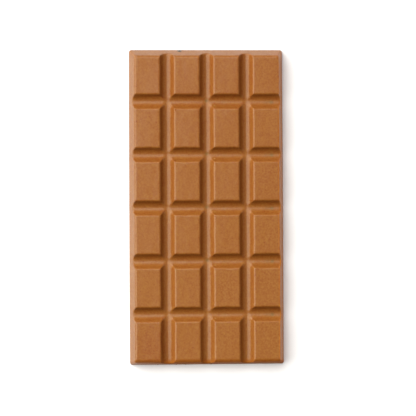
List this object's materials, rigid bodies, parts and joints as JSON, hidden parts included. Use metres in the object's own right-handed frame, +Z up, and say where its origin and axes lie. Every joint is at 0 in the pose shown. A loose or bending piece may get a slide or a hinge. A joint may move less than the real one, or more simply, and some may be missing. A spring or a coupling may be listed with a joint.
{
  "type": "chocolate bar",
  "caption": "Flat moulded milk chocolate bar with leaning sides and rounded break grooves that part it into oblong pieces.",
  "frame": {"origin": "middle of the flat back, on the surface that the bar lies on", "axes": "+Z up out of the grooved face, +Y along the bar's length, +X across it"},
  "size_m": [0.075, 0.154, 0.0084],
  "materials": {
    "milk_chocolate": "satin"
  },
  "bodies": {
    "root": {"tablet": "milk_chocolate"}
  },
  "joints": []
}
